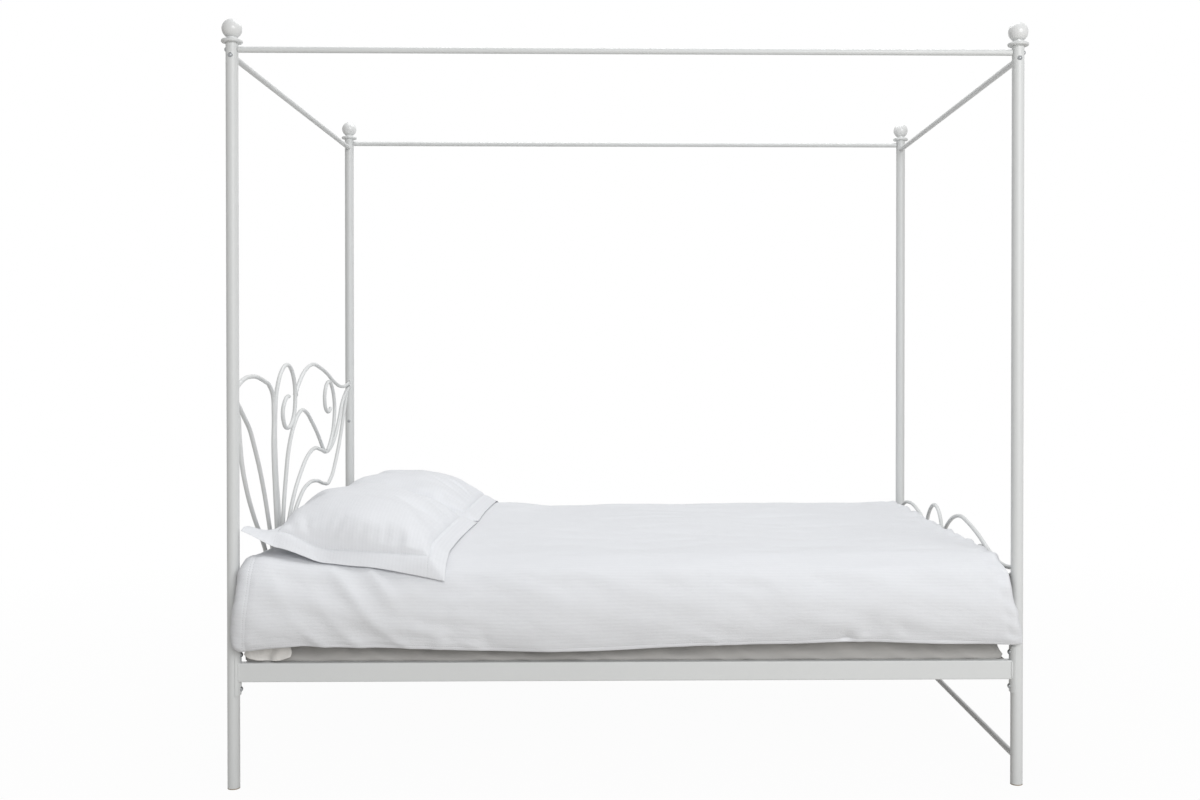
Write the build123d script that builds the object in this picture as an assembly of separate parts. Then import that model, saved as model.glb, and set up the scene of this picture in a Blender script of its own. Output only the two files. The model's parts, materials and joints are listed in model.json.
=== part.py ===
from build123d import *
import os
from math import cos, pi, radians, sin, sqrt

# Four poster canopy bed, in millimetres.
# X runs from head to foot, Y from the near side to the far side and Z up from the floor.

# Mattress that the bed is made for
mattress_length = 2000.0
mattress_width = 1400.0

# Plan of the bed, between post axes, with the room left round the mattress
mattress_room_x = 60.0
mattress_room_y = 40.0
post_spacing_x = mattress_length + mattress_room_x
post_spacing_y = mattress_width + mattress_room_y

# Posts and feet
post_diameter = 32.0
post_wall = 1.5
post_top_z = 1948.0
foot_flange = 3.0
foot_edge = 0.8
foot_plug_length = 22.0
plug_clearance = 0.2

# Finials
top_plug_height = 11.0
stud_diameter = 8.0
stud_clearance = 0.3
stud_rise = 22.0
collar_diameter = 55.0
collar_thickness = 9.0
collar_rim_share = 0.9
ball_diameter = 52.0
ball_rise = 28.0
neck_diameter = 27.0
ball_bore_spare = 2.0

# Canopy rails and their bolts
canopy_rail_diameter = 16.0
canopy_rail_wall = 1.2
canopy_side_drop = 17.0
canopy_end_drop = 34.0
canopy_end_gap = 0.2
rail_plug_length = 20.0
canopy_bolt_diameter = 6.0
canopy_head_diameter = 12.5
canopy_head_height = 3.6
canopy_bolt_bite = 14.0
hole_clearance = 0.4
seat_gap = 0.1

# Side rails, saddles and their bolts
side_rail_z = 305.5
side_rail_height = 50.0
side_rail_width = 25.0
side_rail_wall = 1.5
side_rail_corner = 3.0
saddle_height = 122.0
saddle_thickness = 4.0
saddle_half_wrap = 64.0
saddle_taper = 14.0
saddle_end_thickness = 1.2
saddle_bolt_pitch = 90.0
saddle_bolt_diameter = 8.0
saddle_head_diameter = 14.0
saddle_head_height = 4.5
saddle_nut_width = 13.0
saddle_nut_height = 6.0
saddle_nut_gap = 0.1
saddle_bolt_spare = 2.0

# Screw on the inner face of each head post
post_screw_z = 899.0
post_screw_diameter = 6.0
post_screw_length = 10.0
post_screw_head_diameter = 11.0
post_screw_head_height = 3.0

# Slatted base
slat_count = 14
slat_width = 70.0
slat_thickness = 12.0
slat_edge = 3.0
slat_top_drop = 2.5
slat_end_gap = 9.0
slat_foot_gap = 5.0
ledge_leg = 25.0
ledge_thickness = 3.0
ledge_end_gap = 6.0

# Rod panels at head and foot
rod_diameter = 12.0
panel_rail_diameter = 16.0
weld_gap = 0.1
headboard_rail_z = 538.0
footboard_rail_z = 70.0

# Mattress body
mattress_height = 215.0
mattress_corner = 45.0
mattress_edge = 22.0
mattress_foot_gap = 24.0
rest_gap = 0.3

# Duvet
duvet_thickness = 64.0
drape_thickness = 26.0
drape_post_gap = 6.0
drape_fold = 7.0
drape_fold_count = 6
drape_fold_steps = 6
duvet_hem_z = 350.0
duvet_shoulder_radius = 62.0
duvet_inner_radius = 20.0
duvet_hem_radius = 9.0
duvet_head_gap = 7.0
duvet_foot_gap = 12.0
duvet_foot_flare = 7.5

# Pillows
pillow_length = 530.0
pillow_width = 710.0
pillow_height = 132.0
pillow_flange = 50.0
pillow_flange_thickness = 6.0
pillow_seam_height = 44.0
pillow_corner = 60.0
pillow_draw = 14.0
pillow_crown_span = 150.0
pillow_low_turn = -68.0
pillow_high_turn = 74.0
pillow_levels = 11
pillow_gap = 14.0
pillow_post_gap = 14.0

# Rod centre lines of one panel, as points across the bed and up from the panel's bottom rail
low_lobe = [(-720, 492), (-640, 528), (-535, 539), (-430, 526), (-370, 510), (-334, 480), (-326, 430),
            (-330, 330), (-314, 200), (-298, 100), (-292, 0)]
tall_scroll = [(-262, 0), (-272, 120), (-304, 270), (-313, 390), (-287, 505), (-235, 554), (-175, 571),
               (-112, 546), (-79, 475), (-98, 412), (-155, 380), (-208, 391), (-226, 427), (-202, 461),
               (-155, 475)]
high_lobe = [(-79, 475), (-10, 527), (70, 560), (147, 572), (251, 561), (353, 540), (450, 513), (560, 493),
             (640, 493), (720, 507)]
inner_arch = [(-240, 0), (-222, 128), (-194, 228), (-158, 316), (-98, 382), (-50, 413), (7, 427), (67, 416),
              (131, 386), (210, 342), (300, 278)]
small_scroll = [(345, 272), (404, 304), (451, 358), (466, 423), (440, 480), (382, 512), (334, 495), (315, 459),
                (324, 428), (352, 410), (405, 420)]
upper_sweep = [(720, 489), (588, 432), (528, 366), (466, 312), (391, 279), (334, 272), (261, 284), (170, 295),
               (65, 272), (-10, 232), (-93, 172), (-140, 122), (-185, 58), (-208, 0)]
lower_sweep = [(672, 478), (621, 400), (575, 333), (495, 243), (416, 180), (362, 162), (300, 167), (199, 185),
               (104, 188), (12, 169), (-49, 139), (-110, 95), (-150, 45), (-165, 0)]
inner_fan = [(-720, 493), (-671, 463), (-624, 432), (-571, 396), (-526, 346), (-480, 288), (-433, 216),
             (-381, 118), (-345, 40), (-332, 0)]
outer_fan = [(-720, 468), (-680, 442), (-661, 370), (-640, 302), (-600, 234), (-522, 143), (-455, 82),
             (-410, 30), (-396, 0)]
panel_rods = {
    "low_lobe": low_lobe,
    "tall_scroll": tall_scroll,
    "high_lobe": high_lobe,
    "inner_arch": inner_arch,
    "small_scroll": small_scroll,
    "upper_sweep": upper_sweep,
    "lower_sweep": lower_sweep,
    "inner_fan": inner_fan,
    "outer_fan": outer_fan,
}
# A rod that ends on another rod is cut to it
rod_ends_on = {
    "high_lobe": ["tall_scroll"],
    "inner_arch": ["upper_sweep"],
    "small_scroll": ["upper_sweep", "inner_arch"],
    "lower_sweep": ["upper_sweep"],
}
# Post spacing that the rods are drawn for, and how nearly straight a stretch is made a line
drawn_post_spacing_y = 1440.0
straight_enough = 0.999999

# Sizes that follow from the ones above
half_x = post_spacing_x / 2
half_y = post_spacing_y / 2
post_radius = post_diameter / 2
post_bore_radius = post_radius - post_wall
collar_top_z = post_top_z + collar_thickness
stud_top_z = collar_top_z + stud_rise
canopy_side_z = post_top_z - canopy_side_drop
canopy_end_z = post_top_z - canopy_end_drop
saddle_outer_radius = post_radius + seat_gap + saddle_thickness
side_rail_top_z = side_rail_z + side_rail_height / 2
rail_inner_y = half_y - side_rail_width / 2
slat_top_z = side_rail_top_z - slat_top_drop
ledge_top_z = slat_top_z - slat_thickness
mattress_foot_x = half_x - post_radius - mattress_foot_gap
mattress_head_x = mattress_foot_x - mattress_length
mattress_x = (mattress_foot_x + mattress_head_x) / 2
mattress_bottom_z = slat_top_z + rest_gap
mattress_top_z = mattress_bottom_z + mattress_height
duvet_under_z = mattress_top_z + rest_gap
duvet_top_z = duvet_under_z + duvet_thickness
drape_inner_y = half_y + post_radius + drape_post_gap
pillow_rest_z = duvet_top_z + rest_gap

corners = {
    "head_near": (-1, -1),
    "head_far": (-1, 1),
    "foot_near": (1, -1),
    "foot_far": (1, 1),
}
upward = (Align.CENTER, Align.CENTER, Align.MIN)
downward = (Align.CENTER, Align.CENTER, Align.MAX)
along_x = Rot(0, 90, 0)
along_y = Rot(-90, 0, 0)


def corner_place(side_x, side_y, z=0.0):
    return Pos(side_x * half_x, side_y * half_y, z)


def pointing_x(sign):
    """Turns +Z to +X or -X."""
    return Rot(0, 90 * sign, 0)


def pointing_y(sign):
    """Turns +Z to +Y or -Y."""
    return Rot(-90 * sign, 0, 0)


def dome_bolt(head_diameter, head_height, shank_diameter, shank_length):
    """A bolt along Z: dome head above z = 0, with a skirt below it to be cut to its seat."""
    head_radius = head_diameter / 2
    dome_radius = (head_radius ** 2 + head_height ** 2) / (2 * head_height)
    dome = Pos(0, 0, head_height - dome_radius) * Sphere(dome_radius)
    head = dome & Cylinder(head_radius, head_height, align=upward)
    skirt = Cylinder(head_radius, head_height / 2, align=downward)
    shank = Cylinder(shank_diameter / 2, shank_length, align=downward)
    return head + skirt, shank


def make_post(side_x, side_y):
    length = post_top_z - foot_flange
    post = Pos(0, 0, foot_flange) * Cylinder(post_radius, length, align=upward)
    post -= Pos(0, 0, foot_flange) * Cylinder(post_bore_radius, length, align=upward)
    canopy_hole = Cylinder((canopy_bolt_diameter + hole_clearance) / 2, 2 * post_diameter)
    post -= Pos(0, 0, canopy_side_z) * along_x * canopy_hole
    post -= Pos(0, 0, canopy_end_z) * along_y * canopy_hole
    saddle_hole = Cylinder((saddle_bolt_diameter + hole_clearance) / 2, post_diameter, align=upward)
    for step in (-1, 1):
        hole_z = side_rail_z + step * saddle_bolt_pitch / 2
        post -= Pos(0, 0, hole_z) * pointing_x(-side_x) * saddle_hole
    if side_x < 0:
        screw_hole = Cylinder((post_screw_diameter + hole_clearance) / 2, post_diameter, align=upward)
        post -= Pos(0, 0, post_screw_z) * pointing_y(-side_y) * screw_hole
    return corner_place(side_x, side_y) * post


def make_foot_cap(side_x, side_y):
    flange = Cylinder(post_radius, foot_flange, align=upward)
    flange = fillet(flange.edges().group_by(Axis.Z)[0], foot_edge)
    plug = Cylinder(post_bore_radius - plug_clearance, foot_flange / 2 + foot_plug_length, align=upward)
    return corner_place(side_x, side_y) * (flange + Pos(0, 0, foot_flange / 2) * plug)


def make_top_plug(side_x, side_y):
    plug = Cylinder(post_bore_radius - plug_clearance, top_plug_height, align=downward)
    plug -= Cylinder((stud_diameter + plug_clearance) / 2, 2 * top_plug_height)
    return corner_place(side_x, side_y, post_top_z) * plug


def make_stud(side_x, side_y):
    length = stud_top_z - post_top_z + top_plug_height
    return corner_place(side_x, side_y, stud_top_z) * Cylinder(stud_diameter / 2, length, align=downward)


def make_collar(side_x, side_y):
    rim = collar_rim_share * collar_thickness / 2
    collar = Cylinder(collar_diameter / 2, collar_thickness, align=upward)
    collar = fillet(collar.edges(), rim)
    collar -= Cylinder(stud_diameter / 2 + stud_clearance, 3 * collar_thickness)
    return corner_place(side_x, side_y, post_top_z) * collar


def make_ball(side_x, side_y):
    ball = Pos(0, 0, ball_rise) * Sphere(ball_diameter / 2)
    ball += Cylinder(neck_diameter / 2, ball_rise, align=upward)
    ball -= Cylinder(stud_diameter / 2 + stud_clearance, 2 * (stud_rise + ball_bore_spare))
    return corner_place(side_x, side_y, collar_top_z) * ball


def make_canopy_rail(length):
    """A tube along Z with its middle at the origin."""
    tube = Cylinder(canopy_rail_diameter / 2, length)
    return tube - Cylinder(canopy_rail_diameter / 2 - canopy_rail_wall, length)


canopy_side_length = post_spacing_x - post_diameter - 2 * canopy_end_gap
canopy_end_length = post_spacing_y - post_diameter - 2 * canopy_end_gap


def make_canopy_plugs():
    plug_radius = canopy_rail_diameter / 2 - canopy_rail_wall - plug_clearance
    plug = Cylinder(plug_radius, rail_plug_length, align=downward)
    plug -= Cylinder((canopy_bolt_diameter + hole_clearance) / 2, 3 * rail_plug_length)
    plugs = []
    for side_x, side_y in corners.values():
        plugs.append(Pos(side_x * canopy_side_length / 2, side_y * half_y, canopy_side_z)
                     * pointing_x(side_x) * plug)
        plugs.append(Pos(side_x * half_x, side_y * canopy_end_length / 2, canopy_end_z)
                     * pointing_y(side_y) * plug)
    return plugs


def make_canopy_bolts():
    shank_length = post_diameter + canopy_end_gap + canopy_bolt_bite
    head, shank = dome_bolt(canopy_head_diameter, canopy_head_height, canopy_bolt_diameter, shank_length)
    bolts = []
    for side_x, side_y in corners.values():
        post_room = corner_place(side_x, side_y) * Cylinder(post_radius + seat_gap, 2 * post_top_z)
        seats = [
            corner_place(side_x, side_y, canopy_side_z) * pointing_x(side_x),
            corner_place(side_x, side_y, canopy_end_z) * pointing_y(side_y),
        ]
        for seat in seats:
            place = seat * Pos(0, 0, post_radius + seat_gap)
            bolts.append((place * head - post_room) + place * shank)
    return bolts


def make_saddle(side_x, side_y):
    """A curved plate round the post's inner side, thinned towards its upper and lower ends."""
    ring = Circle(saddle_outer_radius) - Circle(post_radius + seat_gap)
    reach = 2 * saddle_outer_radius
    edge = radians(saddle_half_wrap)
    wrap = make_face(Polyline((0, 0), (reach * cos(edge), -reach * sin(edge)), (reach, -reach), (reach, reach),
                              (reach * cos(edge), reach * sin(edge)), close=True))
    saddle = extrude(ring & wrap, saddle_height, both=True)
    top = saddle_height / 2
    thin_x = post_radius + seat_gap + saddle_end_thickness
    side_view = Polyline((0, -top), (thin_x, -top), (saddle_outer_radius, saddle_taper - top),
                         (saddle_outer_radius, top - saddle_taper), (thin_x, top), (0, top), close=True)
    saddle &= extrude(Plane.XZ * make_face(side_view), 2 * reach, both=True)
    hole = Cylinder((saddle_bolt_diameter + hole_clearance) / 2, reach, align=upward)
    for step in (-1, 1):
        saddle -= Pos(0, 0, step * saddle_bolt_pitch / 2) * pointing_x(1) * hole
    facing = Rot(0, 0, 180 if side_x > 0 else 0)
    return corner_place(side_x, side_y, side_rail_z) * facing * saddle


def saddle_seats():
    """The place of each saddle bolt on the post's axis, turned to the bed's middle."""
    seats = []
    for side_x, side_y in corners.values():
        for step in (-1, 1):
            bolt_z = side_rail_z + step * saddle_bolt_pitch / 2
            seats.append((side_x, side_y, corner_place(side_x, side_y, bolt_z) * pointing_x(-side_x)))
    return seats


saddle_nut_face = sqrt(post_bore_radius ** 2 - (saddle_nut_width / 2) ** 2) - saddle_nut_gap


def make_saddle_bolts():
    nut_back = saddle_nut_face - saddle_nut_height
    shank_length = saddle_outer_radius + seat_gap - nut_back + saddle_bolt_spare
    head, shank = dome_bolt(saddle_head_diameter, saddle_head_height, saddle_bolt_diameter, shank_length)
    bolts = []
    for side_x, side_y, seat in saddle_seats():
        saddle_room = corner_place(side_x, side_y) * Cylinder(saddle_outer_radius + seat_gap, 2 * post_top_z)
        place = seat * Pos(0, 0, saddle_outer_radius + seat_gap)
        bolts.append((place * head - saddle_room) + place * shank)
    return bolts


def make_saddle_nuts():
    nut = Pos(0, 0, saddle_nut_face) * Cylinder(saddle_nut_width / 2, saddle_nut_height, align=downward)
    nut -= Cylinder((saddle_bolt_diameter + plug_clearance) / 2, 2 * post_diameter)
    return [seat * nut for side_x, side_y, seat in saddle_seats()]


def make_side_rail(side_y):
    outline = RectangleRounded(side_rail_width, side_rail_height, side_rail_corner)
    outline -= RectangleRounded(side_rail_width - 2 * side_rail_wall, side_rail_height - 2 * side_rail_wall,
                                side_rail_corner - side_rail_wall)
    rail = Pos(0, side_y * half_y, side_rail_z) * extrude(Plane.YZ * outline, half_x, both=True)
    for side_x in (-1, 1):
        rail -= corner_place(side_x, side_y) * Cylinder(saddle_outer_radius + weld_gap, 2 * post_top_z)
    return rail


def make_slat_ledge(side_y):
    outline = Polyline((0, 0), (0, -ledge_leg), (-ledge_thickness, -ledge_leg),
                       (-ledge_thickness, -ledge_thickness), (-ledge_leg, -ledge_thickness), (-ledge_leg, 0),
                       close=True)
    half_length = half_x - saddle_outer_radius - ledge_end_gap
    ledge = extrude(Plane.YZ * make_face(outline), half_length, both=True)
    turned = Rot(0, 0, 180 if side_y < 0 else 0) * ledge
    return Pos(0, side_y * (rail_inner_y - weld_gap), ledge_top_z) * turned


def make_slats():
    slat_length = 2 * (rail_inner_y - slat_end_gap)
    slat = Box(slat_width, slat_length, slat_thickness, align=downward)
    slat = fillet(slat.edges().filter_by(Axis.Y), slat_edge)
    first_x = half_x - saddle_outer_radius - slat_foot_gap - slat_width / 2
    pitch = 2 * first_x / (slat_count - 1)
    return [Pos(pitch * index - first_x, 0, slat_top_z) * slat for index in range(slat_count)]


def make_post_screws():
    head, shank = dome_bolt(post_screw_head_diameter, post_screw_head_height, post_screw_diameter,
                            post_screw_length)
    screws = []
    for side_y in (-1, 1):
        post_room = corner_place(-1, side_y) * Cylinder(post_radius + seat_gap, 2 * post_top_z)
        place = (corner_place(-1, side_y, post_screw_z) * pointing_y(-side_y)
                 * Pos(0, 0, post_radius + seat_gap))
        screws.append((place * head - post_room) + place * shank)
    return screws


def unit(vector):
    return vector / vector.length


def rod_path(points):
    """Smooth line through the points, two tangent arcs from each point to the next."""
    spread = post_spacing_y / drawn_post_spacing_y
    spots = [Vector(0, across * spread, up) for across, up in points]
    chords = [after - before for before, after in zip(spots, spots[1:])]
    headings = []
    for before, after in zip(chords, chords[1:]):
        headings.append(unit(unit(before) * after.length + unit(after) * before.length))
    start = unit(chords[0]) * (2 * unit(chords[0]).dot(headings[0])) - headings[0]
    finish = unit(chords[-1]) * (2 * unit(chords[-1]).dot(headings[-1])) - headings[-1]
    headings = [start] + headings + [finish]
    arcs = []
    for index, chord in enumerate(chords):
        out_way = headings[index]
        in_way = headings[index + 1]
        turn = 2 * (1 - out_way.dot(in_way))
        pull = chord.dot(out_way + in_way)
        reach = chord.dot(chord) / (pull + sqrt(pull ** 2 + turn * chord.dot(chord)))
        out_knee = spots[index] + out_way * reach
        in_knee = spots[index + 1] - in_way * reach
        middle = (out_knee + in_knee) / 2
        arcs.append(tangent_arc(spots[index], middle, out_way))
        arcs.append(tangent_arc(middle, spots[index + 1], unit(in_knee - out_knee)))
    return Wire(arcs)


def tangent_arc(begin, end, way):
    straight = unit(end - begin)
    if straight.dot(way) > straight_enough:
        return Line(begin, end)
    return TangentArc(begin, end, tangent=way)


def make_rod(points, diameter):
    path = rod_path(points)
    section = Plane(path @ 0, z_dir=path % 0) * Circle(diameter / 2)
    return sweep(section, path=path)


def make_panel():
    """The rods and bottom rail of one panel, standing in the YZ plane on the rail's axis."""
    post_room = Part() + [Pos(0, side_y * half_y, 0) * Cylinder(post_radius + weld_gap, 2 * post_top_z)
                          for side_y in (-1, 1)]
    rail = along_y * Cylinder(panel_rail_diameter / 2, post_spacing_y) - post_room
    rail_room = along_y * Cylinder(panel_rail_diameter / 2 + weld_gap, post_spacing_y)
    panel = {"bottom_rail": rail}
    for name, points in panel_rods.items():
        rod = make_rod(points, rod_diameter) - rail_room - post_room
        for other in rod_ends_on.get(name, []):
            rod -= make_rod(panel_rods[other], rod_diameter + 2 * weld_gap)
        panel[name] = rod.solids().sort_by(SortBy.VOLUME)[-1]
    return panel


def make_mattress():
    block = Box(mattress_length, mattress_width, mattress_height, align=upward)
    block = fillet(block.edges().filter_by(Axis.Z), mattress_corner)
    block = fillet(block.edges().group_by(Axis.Z)[-1] + block.edges().group_by(Axis.Z)[0], mattress_edge)
    return Pos(mattress_x, 0, mattress_bottom_z) * block


def duvet_section(place, swing):
    """An arch over the mattress with hanging sides, drawn on a plane whose origin is at the duvet's top."""
    hem = duvet_hem_z - duvet_top_z
    under = -duvet_thickness
    inner = drape_inner_y + swing
    outer = inner + drape_thickness
    inner_top = drape_inner_y
    outer_top = drape_inner_y + drape_thickness
    spots = [(-outer, hem), (-outer_top, 0), (outer_top, 0), (outer, hem), (inner, hem), (inner_top, under),
             (-inner_top, under), (-inner, hem)]
    rounds = [duvet_hem_radius, duvet_shoulder_radius, duvet_shoulder_radius, duvet_hem_radius,
              duvet_hem_radius, duvet_inner_radius, duvet_inner_radius, duvet_hem_radius]
    return place * make_face(FilletPolyline(*spots, radius=rounds, close=True))


def make_duvet():
    """Folds swing the hanging sides out and in, and the foot end leans out towards its hem."""
    head_x = duvet_head_gap + post_radius - half_x
    foot_x = half_x - post_radius - duvet_foot_gap
    steps = drape_fold_count * drape_fold_steps
    sections = []
    for index in range(steps + 1):
        swing = drape_fold * (1 - cos(2 * pi * index / drape_fold_steps)) / 2
        lean = radians(duvet_foot_flare) if index == steps else 0.0
        section_x = head_x + (foot_x - head_x) * index / steps
        place = Plane((section_x, 0, duvet_top_z), x_dir=(0, 1, 0), z_dir=(cos(lean), 0, sin(lean)))
        sections.append(duvet_section(place, swing))
    return loft(sections, ruled=True)


def pillow_outline(inset, corner, draw):
    """A cushion's outline with its sides drawn in between the corners."""
    half_length = pillow_length / 2 - inset
    half_width = pillow_width / 2 - inset
    bend = corner * (1 - cos(pi / 4))
    long_y = half_width - corner
    long_x = half_length - corner
    right = ThreePointArc((half_length, -long_y), (half_length - draw, 0), (half_length, long_y))
    left = ThreePointArc((-half_length, long_y), (draw - half_length, 0), (-half_length, -long_y))
    top = ThreePointArc((long_x, half_width), (0, half_width - draw), (-long_x, half_width))
    bottom = ThreePointArc((-long_x, -half_width), (0, draw - half_width), (long_x, -half_width))
    knees = []
    for side_x, side_y in ((1, 1), (-1, 1), (-1, -1), (1, -1)):
        ends = [(side_x * half_length, side_y * long_y), (side_x * long_x, side_y * half_width)]
        middle = (side_x * (half_length - bend), side_y * (half_width - bend))
        knees.append(ThreePointArc(ends[0], middle, ends[1]))
    return make_face([right, knees[0], top, knees[1], left, knees[2], bottom, knees[3]])


def make_pillow(side_y):
    """A flanged cushion: its seam is drawn in between the corners, and its crown swells above and below."""
    low = radians(pillow_low_turn)
    high = radians(pillow_high_turn)
    sections = []
    for index in range(pillow_levels):
        turn = low + (high - low) * index / (pillow_levels - 1)
        reach = pillow_seam_height / sin(-low) if turn < 0 else (pillow_height - pillow_seam_height) / sin(high)
        level = pillow_seam_height + reach * sin(turn)
        inset = pillow_flange + pillow_crown_span * (1 - cos(turn))
        sections.append(Pos(0, 0, level) * pillow_outline(inset, pillow_corner, pillow_draw * cos(turn)))
    body = loft(sections, ruled=True)
    flange = extrude(pillow_outline(0.0, pillow_corner, pillow_draw / 2), pillow_flange_thickness / 2, both=True)
    pillow = body + Pos(0, 0, pillow_seam_height) * flange
    centre_x = pillow_post_gap + post_radius - half_x + pillow_length / 2
    centre_y = side_y * (pillow_width + pillow_gap) / 2
    return Pos(centre_x, centre_y, pillow_rest_z) * pillow


def save(name, shape):
    solids = shape if isinstance(shape, list) else [shape]
    pieces = [solid for item in solids for solid in item.solids()]
    export_step(Compound(pieces) if len(pieces) > 1 else pieces[0], f"parts/{name}.step")


os.makedirs("parts", exist_ok=True)

for corner, (side_x, side_y) in corners.items():
    save(f"post_{corner}", make_post(side_x, side_y))
    save(f"foot_cap_{corner}", make_foot_cap(side_x, side_y))
    save(f"finial_collar_{corner}", make_collar(side_x, side_y))
    save(f"finial_ball_{corner}", make_ball(side_x, side_y))
    save(f"rail_saddle_{corner}", make_saddle(side_x, side_y))
save("post_top_plugs", [make_top_plug(*sides) for sides in corners.values()])
save("finial_studs", [make_stud(*sides) for sides in corners.values()])

for side, side_y in (("near", -1), ("far", 1)):
    canopy_side_rail = along_x * make_canopy_rail(canopy_side_length)
    save(f"canopy_rail_{side}", Pos(0, side_y * half_y, canopy_side_z) * canopy_side_rail)
    save(f"side_rail_{side}", make_side_rail(side_y))
    save(f"slat_ledge_{side}", make_slat_ledge(side_y))
    save(f"pillow_{side}", make_pillow(side_y))
for end, side_x in (("head", -1), ("foot", 1)):
    canopy_end_rail = along_y * make_canopy_rail(canopy_end_length)
    save(f"canopy_rail_{end}", Pos(side_x * half_x, 0, canopy_end_z) * canopy_end_rail)
save("canopy_rail_plugs", make_canopy_plugs())
save("canopy_bolts", make_canopy_bolts())
save("saddle_bolts", make_saddle_bolts())
save("saddle_nuts", make_saddle_nuts())
save("post_screws", make_post_screws())
save("slats", make_slats())

panel = make_panel()
headboard_place = Pos(-half_x, 0, headboard_rail_z)
footboard_place = Pos(half_x, 0, footboard_rail_z) * Rot(0, 0, 180)
for name, piece in panel.items():
    save(f"headboard_{name}", headboard_place * piece)
    save(f"footboard_{name}", footboard_place * piece)

save("mattress", make_mattress())
save("duvet", make_duvet())
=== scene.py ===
import json
import math

import bpy
import numpy as np
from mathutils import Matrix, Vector


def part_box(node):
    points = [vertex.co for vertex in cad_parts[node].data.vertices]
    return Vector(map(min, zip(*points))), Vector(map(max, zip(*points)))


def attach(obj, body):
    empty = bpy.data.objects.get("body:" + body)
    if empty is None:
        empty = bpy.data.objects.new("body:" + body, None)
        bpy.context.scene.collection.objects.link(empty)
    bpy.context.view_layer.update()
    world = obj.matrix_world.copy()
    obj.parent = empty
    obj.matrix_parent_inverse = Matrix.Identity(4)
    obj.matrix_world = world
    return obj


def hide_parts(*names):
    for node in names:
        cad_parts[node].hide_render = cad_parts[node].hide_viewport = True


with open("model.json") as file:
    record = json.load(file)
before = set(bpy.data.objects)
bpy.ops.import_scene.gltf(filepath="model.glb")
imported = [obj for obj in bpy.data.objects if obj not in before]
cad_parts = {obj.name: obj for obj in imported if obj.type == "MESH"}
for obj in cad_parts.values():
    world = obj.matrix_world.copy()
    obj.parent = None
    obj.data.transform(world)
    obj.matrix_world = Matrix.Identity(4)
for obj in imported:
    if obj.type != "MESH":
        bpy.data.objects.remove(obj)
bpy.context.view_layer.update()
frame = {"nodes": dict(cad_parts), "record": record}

bl_info = {
    "name": "Four Poster Canopy Bed",
    "version": (1, 0, 0),
    "blender": (4, 5, 0),
    "location": "View3D > Sidebar > Bed",
    "description": "Paints a four poster canopy bed, makes its bedding and sets it in a plain studio",
    "category": "Object",
}

FULL_TURN = 2 * math.pi
FLAT_MAP = "flat"

# Places that the bedding and the welds take from the frame, in metres
MATTRESS_LOW, MATTRESS_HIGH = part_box("mattress")
HEAD_RAIL_LOW, HEAD_RAIL_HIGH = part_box("headboard_bottom_rail")
FOOT_RAIL_LOW, FOOT_RAIL_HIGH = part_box("footboard_bottom_rail")
POST_LOW, POST_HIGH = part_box("post_foot_far")
POST_X = (POST_LOW.x + POST_HIGH.x) / 2
POST_Y = (POST_LOW.y + POST_HIGH.y) / 2
POST_RADIUS = (POST_HIGH.x - POST_LOW.x) / 2
SIDE_RAIL_LOW, SIDE_RAIL_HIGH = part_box("side_rail_far")

# Duvet: its outer and inner faces across the bed, from the near hem to the middle, and its hem along it
DUVET_OUTER = [(-0.753, 0.372), (-0.779, 0.440), (-0.782, 0.505), (-0.742, 0.574), (-0.645, 0.6035),
               (0.0, 0.6060)]
DUVET_INNER = [(-0.744, 0.372), (-0.744, 0.530), (-0.712, 0.5452), (0.0, 0.5455)]
DUVET_ROUNDING = 0.10
DUVET_INNER_ROUNDING = 0.03
DUVET_DRAWN_HEM = 0.372
DUVET_BEND_Z = 0.530
DUVET_HEAD_X = -1.0015
DUVET_FOOT_X = 1.005
DUVET_HEM = [(-1.03, 0.374), (-0.976, 0.387), (-0.885, 0.387), (-0.764, 0.375), (-0.588, 0.373),
             (-0.394, 0.3655), (-0.264, 0.362), (-0.031, 0.364), (0.163, 0.377), (0.421, 0.380),
             (0.564, 0.387), (0.784, 0.380), (1.03, 0.378)]
DUVET_PITCH = 0.0105
DUVET_END_ROUND = 0.028
DUVET_HEM_ROUND = 0.009
HEM_SEAM, HEM_SEAM_DEPTH, HEM_SEAM_WIDTH = 0.010, 0.0012, 0.004
HEM_BLUR = 0.06
HEM_SWING = 0.0035
HEM_SWING_COUNT = 6
HEAD_BAND, HEAD_BAND_DEPTH, HEAD_BAND_WIDTH = 0.034, 0.0022, 0.005
HEAD_BAND_STITCHES = 0.006
HEAD_LEAN, HEAD_LEAN_REACH = 0.018, 0.16
FOOT_LEAN, FOOT_LEAN_REACH = 0.031, 0.22
DUVET_SIDE_Y, DUVET_SIDE_TURN = 0.66, 0.09
DUVET_OPEN_X, DUVET_OPEN_TURN = -0.50, 0.14
HEM_PUCKER_REACH, HEAD_PUCKER_REACH, FOOT_PUCKER_REACH = 0.055, 0.035, 0.05
LINEN_SEED = 11

# Unevenness of the cloth: height and length of its features, and how far they are drawn out along the bed
TOP_PUFF = (0.0045, 0.60, 1.0)
TOP_WRINKLE = (0.0016, 0.15, 2.2)
TOP_CRINKLE = (0.0008, 0.05, 3.5)
SIDE_PUFF = (0.0030, 0.30, 1.6)
SIDE_WRINKLE = (0.0017, 0.055, 3.2)
SIDE_CREASE = (0.0026, 0.10, 1.7)
HEAD_BAND_PUCKER = (0.0022, 0.028, 1.0)
FOOT_END_PUCKER = (0.0048, 0.045, 1.0)
HEM_PUCKER = (0.0032, 0.05, 1.0)
PILLOW_PUFF = (0.0045, 0.24, 1.0)
PILLOW_WRINKLE = (0.0016, 0.09, 1.8)
FLANGE_WAVE = (0.0035, 0.15, 1.0)
FLANGE_RIPPLE = (0.0012, 0.07, 1.0)
MATTRESS_DRAG = (0.0026, 0.11, 1.0)
MATTRESS_CREASE = (0.0012, 0.045, 1.0)
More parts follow.
